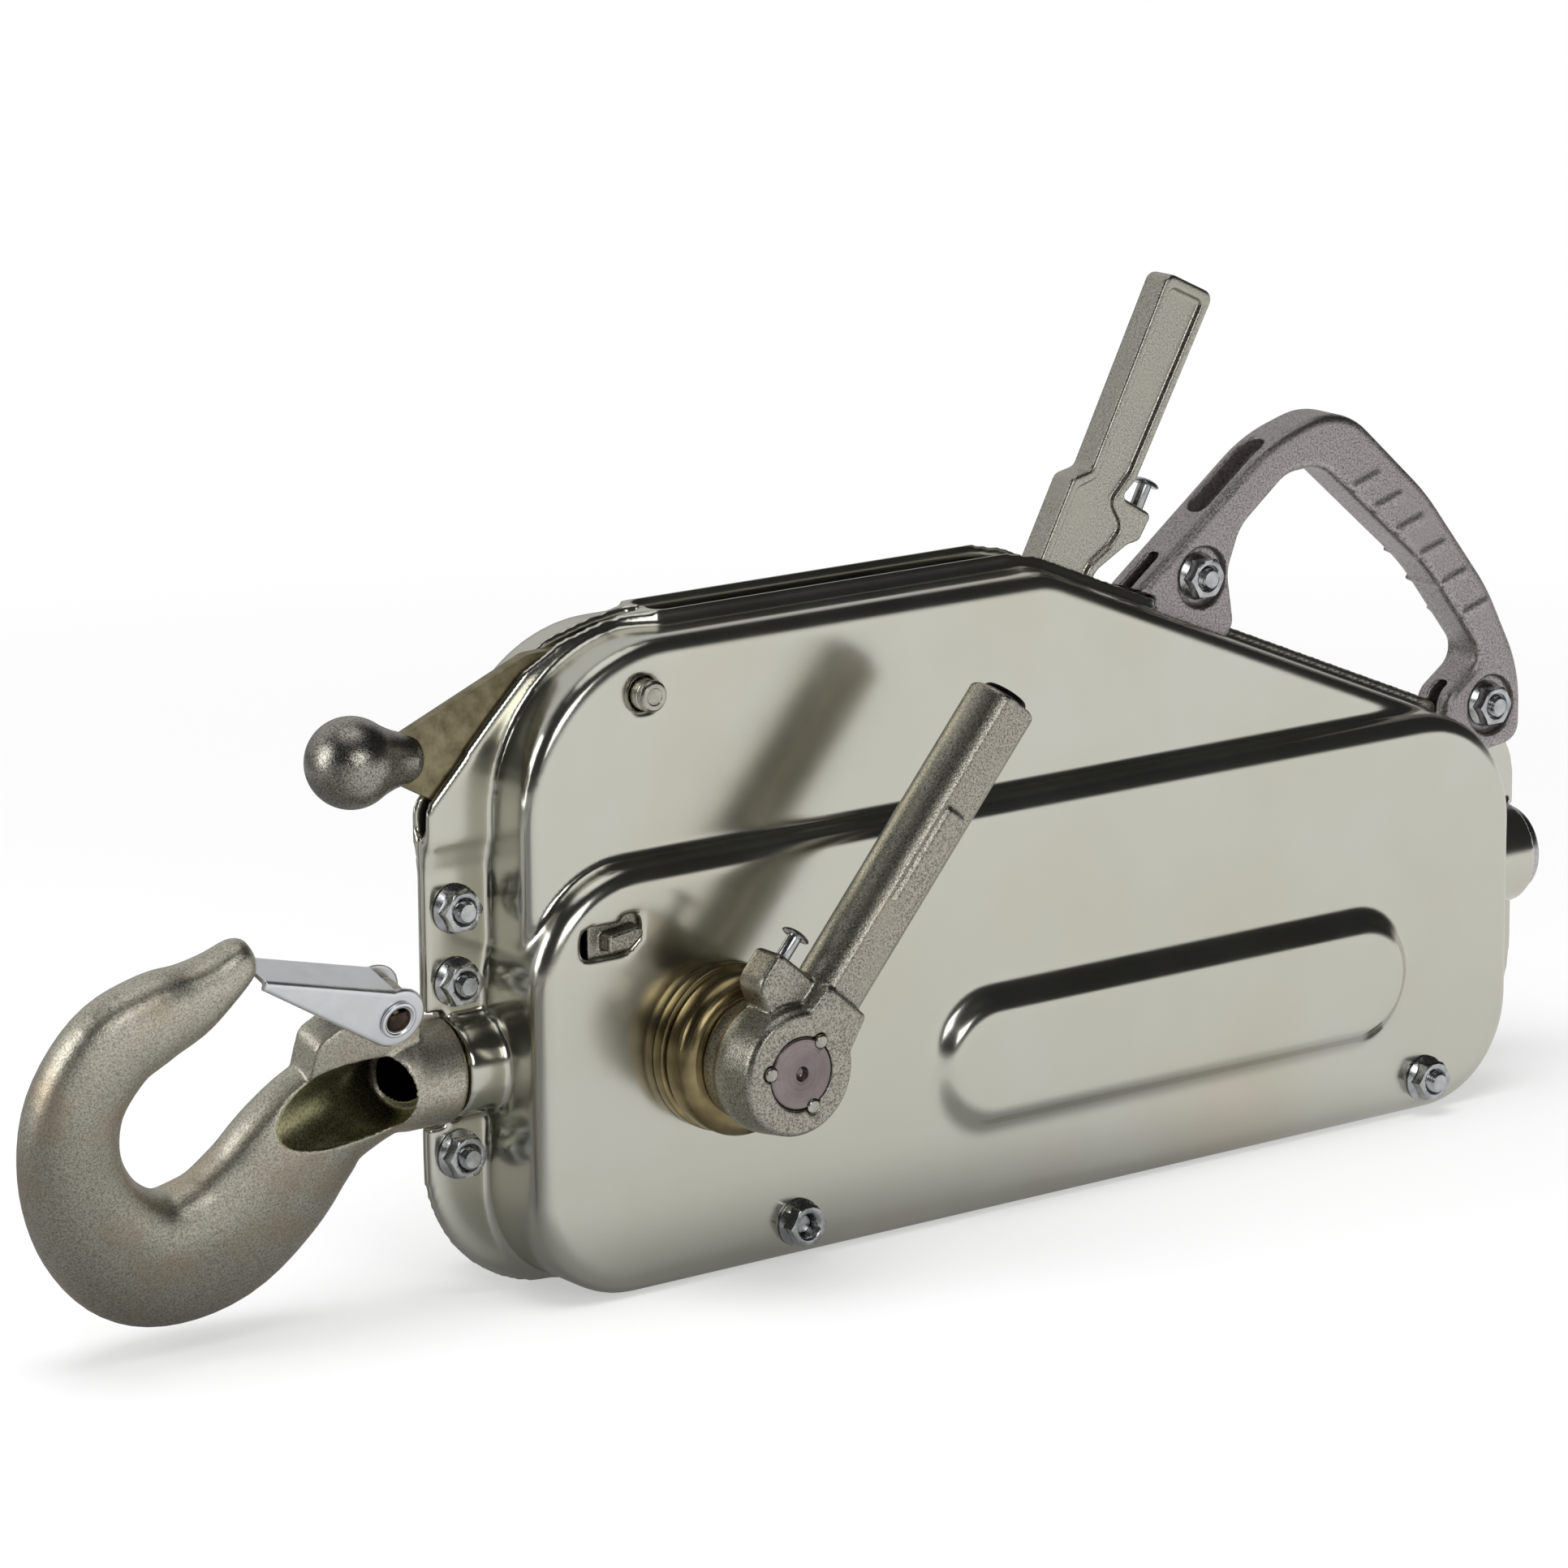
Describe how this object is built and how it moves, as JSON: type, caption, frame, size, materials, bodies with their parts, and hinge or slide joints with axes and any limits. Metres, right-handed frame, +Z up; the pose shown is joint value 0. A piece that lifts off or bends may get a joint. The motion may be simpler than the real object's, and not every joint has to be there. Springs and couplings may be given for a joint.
{
  "type": "steel-cased rope winch",
  "caption": "Lever-operated rope puller with a pressed steel casing, two pairs of rope jaws, a swivelling anchor hook, operating, reversing and release levers and a carrying handle.",
  "frame": {"origin": "middle of the bounding box of the whole winch at rest, on the plane of its flat underside", "axes": "+X along the rope from the anchor hook to the rope guide, +Y to the side away from the operating lever, +Z up"},
  "size_m": [0.8333, 0.1579, 0.4113],
  "materials": {
    "zinc_plated_steel": "zinc-plated sheet, satin with a faint yellow-green passivation",
    "forged_steel": "rough forged skin under thin grey-olive zinc plating",
    "bright_zinc": "bright bluish zinc plating",
    "machined_steel": "turned or milled steel, lightly oiled",
    "tool_steel": "dark hardened steel, oiled",
    "passivated_brass": "turned rings with a brown-gold passivated skin",
    "cast_aluminium": "sand-cast aluminium with a fine grain"
  },
  "bodies": {
    "casing": {"front_casing": "zinc_plated_steel", "rear_casing": "zinc_plated_steel", "carry_handle": "cast_aluminium", "rope_guide": "bright_zinc", "flange_bolt_1": "bright_zinc", "flange_bolt_2": "bright_zinc", "flange_bolt_3": "bright_zinc", "flange_nut_1": "bright_zinc", "flange_nut_2": "bright_zinc", "flange_nut_3": "bright_zinc", "tie_bolt_1": "bright_zinc", "tie_bolt_2": "bright_zinc", "tie_nut_1": "bright_zinc", "tie_nut_2": "bright_zinc", "handle_bolt_1": "bright_zinc", "handle_bolt_2": "bright_zinc", "handle_nut_1": "bright_zinc", "handle_nut_2": "bright_zinc", "tie_spacer_1": "zinc_plated_steel", "tie_spacer_2": "zinc_plated_steel", "front_bearing": "passivated_brass", "rear_bearing": "passivated_brass", "release_pivot_pin": "bright_zinc", "front_reversing_pivot": "machined_steel", "rear_reversing_pivot": "machined_steel", "front_jaw_guide_left": "zinc_plated_steel", "front_jaw_guide_right": "zinc_plated_steel", "rear_jaw_guide_left": "zinc_plated_steel", "rear_jaw_guide_right": "zinc_plated_steel", "anchor_bush": "passivated_brass"},
    "crank": {"forward_lever": "forged_steel", "drive_shaft": "machined_steel", "rear_crank_web": "machined_steel", "upper_crank_pin": "tool_steel", "lower_crank_pin": "tool_steel", "lever_shear_pin_1": "bright_zinc", "lever_shear_pin_2": "bright_zinc", "lever_shear_pin_3": "bright_zinc", "forward_spare_pin": "bright_zinc"},
    "front_jaw_carriage": {"front_carriage": "machined_steel"},
    "rear_jaw_carriage": {"rear_carriage": "machined_steel"},
    "front_top_jaw": {"front_upper_jaw": "tool_steel"},
    "front_bottom_jaw": {"front_lower_jaw": "tool_steel"},
    "rear_top_jaw": {"rear_upper_jaw": "tool_steel"},
    "rear_bottom_jaw": {"rear_lower_jaw": "tool_steel"},
    "reverser": {"reversing_lever": "forged_steel", "reversing_fork": "forged_steel", "reversing_spare_pin": "bright_zinc"},
    "release": {"release_lever": "machined_steel", "release_knob": "forged_steel"},
    "release_slider": {"release_bar": "machined_steel"},
    "thumb_catch": {"release_catch": "forged_steel"},
    "hook": {"anchor_hook": "forged_steel", "hook_ring": "tool_steel", "latch_pin": "machined_steel"},
    "latch": {"hook_latch": "bright_zinc"}
  },
  "joints": [
    {"name": "crank_swing", "type": "hinge", "parent": "casing", "child": "crank", "pos_m": [-0.0908, 0.026, 0.106], "axis": [0, 1, 0], "range_deg": [-85, 5]},
    {"name": "front_carriage_slide", "type": "slide", "parent": "casing", "child": "front_jaw_carriage", "axis": [1, 0, 0], "range_m": [-0.002, 0.03]},
    {"name": "rear_carriage_slide", "type": "slide", "parent": "casing", "child": "rear_jaw_carriage", "axis": [1, 0, 0], "range_m": [-0.03, 0.002]},
    {"name": "front_top_jaw_lift", "type": "slide", "parent": "front_jaw_carriage", "child": "front_top_jaw", "axis": [0, 0, 1], "range_m": [0, 0.0041]},
    {"name": "front_bottom_jaw_drop", "type": "slide", "parent": "front_jaw_carriage", "child": "front_bottom_jaw", "axis": [0, 0, -1], "range_m": [0, 0.0041]},
    {"name": "rear_top_jaw_lift", "type": "slide", "parent": "rear_jaw_carriage", "child": "rear_top_jaw", "axis": [0, 0, 1], "range_m": [0, 0.0041]},
    {"name": "rear_bottom_jaw_drop", "type": "slide", "parent": "rear_jaw_carriage", "child": "rear_bottom_jaw", "axis": [0, 0, -1], "range_m": [0, 0.0041]},
    {"name": "reversing_lever_swing", "type": "hinge", "parent": "casing", "child": "reverser", "pos_m": [0.0367, 0.026, 0.106], "axis": [0, 1, 0], "range_deg": [-54, 3.5]},
    {"name": "release_lever_swing", "type": "hinge", "parent": "casing", "child": "release", "pos_m": [-0.1213, 0.026, 0.2654], "axis": [0, 1, 0], "range_deg": [0, 35]},
    {"name": "release_bar_slide", "type": "slide", "parent": "casing", "child": "release_slider", "axis": [-1, 0, 0], "range_m": [0, 0.0265]},
    {"name": "release_catch_slide", "type": "slide", "parent": "casing", "child": "thumb_catch", "axis": [-1, 0, 0], "range_m": [0, 0.006], "stiffness_N_per_m": 400, "springref_m": -0.01},
    {"name": "hook_swivel", "type": "hinge", "parent": "casing", "child": "hook", "pos_m": [-0.2173, 0.026, 0.106], "axis": [1, 0, 0], "continuous": true},
    {"name": "latch_swing", "type": "hinge", "parent": "hook", "child": "latch", "pos_m": [-0.2445, 0.01477, 0.14272], "axis": [0, -0.9563, -0.2924], "range_deg": [0, 30], "stiffness_Nm_per_rad": 0.12, "springref_deg": -45.84}
  ],
  "couplings": [
    {"joint": "front_carriage_slide", "follows": "crank_swing", "m_per_rad": -0.0201},
    {"joint": "rear_carriage_slide", "follows": "crank_swing", "m_per_rad": 0.0201},
    {"joint": "reversing_lever_swing", "follows": "crank_swing", "ratio": 0.63},
    {"joint": "release_bar_slide", "follows": "release_lever_swing", "m_per_rad": 0.0428},
    {"joint": "front_top_jaw_lift", "follows": "release_lever_swing", "m_per_rad": 0.00655},
    {"joint": "front_bottom_jaw_drop", "follows": "release_lever_swing", "m_per_rad": 0.00655},
    {"joint": "rear_top_jaw_lift", "follows": "release_lever_swing", "m_per_rad": 0.00655},
    {"joint": "rear_bottom_jaw_drop", "follows": "release_lever_swing", "m_per_rad": 0.00655}
  ]
}
